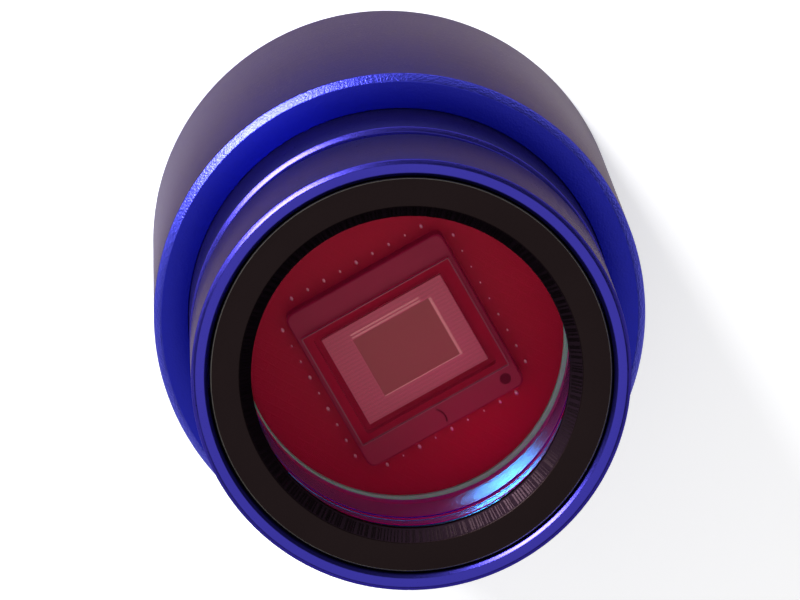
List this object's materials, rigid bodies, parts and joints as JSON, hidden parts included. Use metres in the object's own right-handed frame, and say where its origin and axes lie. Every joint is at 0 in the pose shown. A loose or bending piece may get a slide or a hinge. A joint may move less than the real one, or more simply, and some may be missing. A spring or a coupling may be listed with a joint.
{
  "type": "telescope guide camera",
  "caption": "Cylindrical telescope guide camera with a grooved push-in nose barrel, a window held by a screwed ring, an image sensor behind it, and data and guide sockets in the rear cover.",
  "frame": {"origin": "on the surface that the camera stands on, under the middle of its rear cover", "axes": "+Z along the optical axis from the rear cover to the nose, +X to the right and +Y up as seen onto the nose"},
  "size_m": [0.037, 0.037, 0.053],
  "materials": {
    "anodised_blue": "blue-violet anodised, satin turned",
    "anodised_black": "black anodised, satin",
    "rubber": "matte",
    "silicone": "pale, satin",
    "window": "coated, polished",
    "lid": "polished",
    "solder_mask": "red solder mask on laminate",
    "package": "moulded frame, satin",
    "silicon": "polished silicon",
    "chip": "moulded chip",
    "connector": "moulded connector plastic",
    "steel": "nickel-plated",
    "gold": "gold-plated",
    "sleeve": "capacitor sleeve",
    "black_steel": "black oxide"
  },
  "bodies": {
    "camera": {"board_gasket": "silicone", "body_shell": "anodised_blue", "capacitor_1": "sleeve", "capacitor_2": "sleeve", "cover_post_1": "steel", "cover_post_2": "steel", "cover_post_3": "steel", "cover_post_4": "steel", "cover_screw_1": "black_steel", "cover_screw_2": "black_steel", "cover_screw_3": "black_steel", "cover_screw_4": "black_steel", "cover_seal": "rubber", "crystal_can": "steel", "frame_memory": "chip", "guide_contact_1": "gold", "guide_contact_2": "gold", "guide_contact_3": "gold", "guide_contact_4": "gold", "guide_contact_5": "gold", "guide_contact_6": "gold", "guide_isolator_1": "chip", "guide_isolator_2": "chip", "guide_isolator_3": "chip", "guide_isolator_4": "chip", "guide_jack": "connector", "image_processor": "chip", "main_board": "solder_mask", "main_post_1": "steel", "main_post_2": "steel", "main_post_3": "steel", "main_post_4": "steel", "nose_barrel": "anodised_blue", "power_plug": "connector", "power_plug_socket": "connector", "rear_cover": "anodised_blue", "sensor_board": "solder_mask", "sensor_die": "silicon", "sensor_lid": "lid", "sensor_package": "package", "sensor_plug": "connector", "sensor_plug_socket": "connector", "sensor_post_1": "steel", "sensor_post_2": "steel", "sensor_post_3": "steel", "sensor_post_4": "steel", "socket_board": "solder_mask", "usb_shell": "steel", "usb_tongue": "connector", "voltage_regulator": "chip", "window_glass": "window", "window_seal": "rubber"},
    "ring_carrier": {"slip_gasket": "rubber"},
    "window_ring": {"retaining_ring": "anodised_black"}
  },
  "joints": [
    {"name": "ring_travel", "type": "slide", "parent": "camera", "child": "ring_carrier", "axis": [0, 0, 1], "range_m": [0, 0.0018]},
    {"name": "ring_turn", "type": "hinge", "parent": "ring_carrier", "child": "window_ring", "pos_m": [0, 0, 0.0518], "axis": [0, 0, 1], "range_deg": [0, 1260]}
  ],
  "couplings": [
    {"joint": "ring_travel", "follows": "ring_turn", "m_per_rad": 0.000079577}
  ]
}
